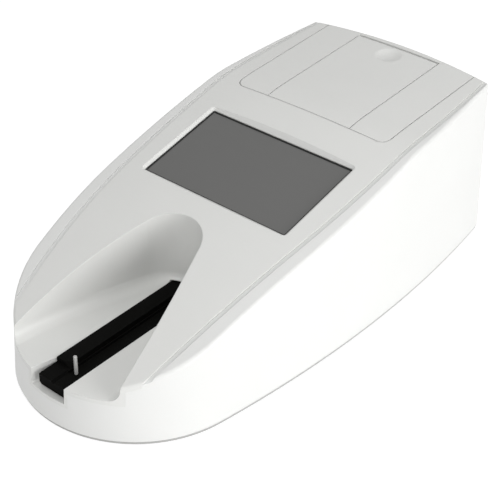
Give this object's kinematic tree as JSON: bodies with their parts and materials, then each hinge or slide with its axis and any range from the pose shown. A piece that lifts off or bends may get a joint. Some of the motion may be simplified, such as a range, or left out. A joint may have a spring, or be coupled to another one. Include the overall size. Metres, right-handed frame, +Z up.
{
  "type": "urine analyzer",
  "caption": "Tabletop test-strip analyzer: sloped plastic body with touch screen, motor-driven strip tray in a hand scoop, and a thermal printer under a hinged lid.",
  "frame": {"origin": "middle of the footprint at the feet's undersides", "axes": "+Z up, -Y towards the user and the tray's open end, +X to the user's right"},
  "size_m": [0.1496, 0.2916, 0.0977],
  "materials": {
    "shell_plastic": "fine satin moulded plastic, warm light grey",
    "cover_plastic": "fine satin moulded plastic, light grey",
    "base_plastic": "satin moulded plastic, mid grey",
    "feet_rubber": "matt black rubber",
    "screw_steel": "zinc plated steel",
    "black_foam": "black foam gasket",
    "screen_glass": "grey touch glass, switched off, satin",
    "module_black": "black moulded plastic",
    "bracket_steel": "zinc plated sheet steel",
    "tray_black": "black moulded plastic, satin",
    "pin_grey": "light grey moulded plastic",
    "pad_white": "white glazed reference pad",
    "gear_white": "natural acetal",
    "guide_grey": "dark grey moulded plastic",
    "shaft_steel": "ground steel",
    "gear_brass": "machined brass",
    "motor_can": "drawn steel can",
    "board_green": "green circuit board with solder mask",
    "board_white": "white circuit board",
    "barrel_aluminium": "machined aluminium",
    "lens_glass": "clear polished lens",
    "lamp_white": "moulded white lamps",
    "roller_rubber": "ground rubber",
    "head_ceramic": "glazed ceramic",
    "core_grey": "moulded plastic core",
    "paper_white": "coated paper",
    "chip_black": "black chip packages",
    "capacitor_can": "capacitor cans",
    "port_metal": "plated port housing",
    "port_purple": "coloured port housing"
  },
  "bodies": {
    "housing": {"side_shell": "shell_plastic", "top_cover": "cover_plastic", "base_plate": "base_plastic", "rubber_feet": "feet_rubber", "base_screws": "screw_steel", "display_gasket": "black_foam", "touch_screen": "screen_glass", "display_module": "module_black", "display_bracket": "bracket_steel", "display_screws": "screw_steel", "tray_guide": "guide_grey", "tray_motor": "motor_can", "motor_bracket": "bracket_steel", "home_sensor": "module_black", "optical_housing": "module_black", "detector_board": "board_green", "lens_barrel": "barrel_aluminium", "lens": "lens_glass", "lamp_board": "board_white", "lamps": "lamp_white", "printer_cover": "cover_plastic", "printer_motor": "motor_can", "printer_frame": "guide_grey", "thermal_head": "head_ceramic", "head_sink": "barrel_aluminium", "paper_bucket": "guide_grey", "main_board": "board_green", "socket_board": "board_green", "board_standoffs": "gear_brass", "board_screws": "screw_steel", "board_chips": "chip_black", "board_capacitors": "capacitor_can", "power_socket": "module_black", "serial_port": "port_metal", "keyboard_port": "port_purple", "switch_body": "module_black"},
    "tray": {"strip_tray": "tray_black", "strip_stop_pin": "pin_grey", "reference_pad": "pad_white", "tray_rack": "gear_white"},
    "tray_drive": {"rack_pinion": "gear_white", "drive_wheel": "gear_white", "drive_axle": "shaft_steel"},
    "tray_motor_rotor": {"motor_pinion": "gear_brass", "motor_shaft": "shaft_steel"},
    "lid": {"paper_lid": "cover_plastic", "lid_pins": "shaft_steel"},
    "platen": {"platen_shaft": "shaft_steel", "platen_roller": "roller_rubber", "platen_gear": "gear_white"},
    "printer_rotor": {"printer_gear": "gear_white", "printer_shaft": "shaft_steel"},
    "paper_roll_body": {"roll_core": "core_grey", "paper_roll": "paper_white"},
    "rocker": {"power_rocker": "module_black"}
  },
  "joints": [
    {"name": "tray_slide", "type": "slide", "parent": "housing", "child": "tray", "axis": [0, 1, 0], "range_m": [0, 0.095]},
    {"name": "drive_spin", "type": "hinge", "parent": "housing", "child": "tray_drive", "pos_m": [0, 0.012, 0.01312], "axis": [1, 0, 0], "continuous": true},
    {"name": "tray_motor_spin", "type": "hinge", "parent": "housing", "child": "tray_motor_rotor", "pos_m": [-0.019, -0.00101, 0.016], "axis": [1, 0, 0], "continuous": true},
    {"name": "lid_hinge", "type": "hinge", "parent": "housing", "child": "lid", "pos_m": [0, 0.0563, 0.09079], "axis": [1, 0, 0], "range_deg": [0, 95]},
    {"name": "platen_spin", "type": "hinge", "parent": "lid", "child": "platen", "pos_m": [0, 0.131, 0.086], "axis": [1, 0, 0], "continuous": true},
    {"name": "printer_gear_spin", "type": "hinge", "parent": "housing", "child": "printer_rotor", "pos_m": [0.023, 0.12904, 0.07202], "axis": [1, 0, 0], "continuous": true},
    {"name": "roll_spin", "type": "hinge", "parent": "housing", "child": "paper_roll_body", "pos_m": [0, 0.0876, 0.0687], "axis": [1, 0, 0], "continuous": true},
    {"name": "power_rocker_tilt", "type": "hinge", "parent": "housing", "child": "rocker", "pos_m": [-0.042, 0.1354, 0.021], "axis": [1, 0, 0], "range_deg": [-18, 0]}
  ],
  "couplings": [
    {"joint": "drive_spin", "follows": "tray_slide", "rad_per_m": -156.25},
    {"joint": "tray_motor_spin", "follows": "tray_slide", "rad_per_m": 273.44},
    {"joint": "printer_gear_spin", "follows": "platen_spin", "ratio": -0.75}
  ]
}
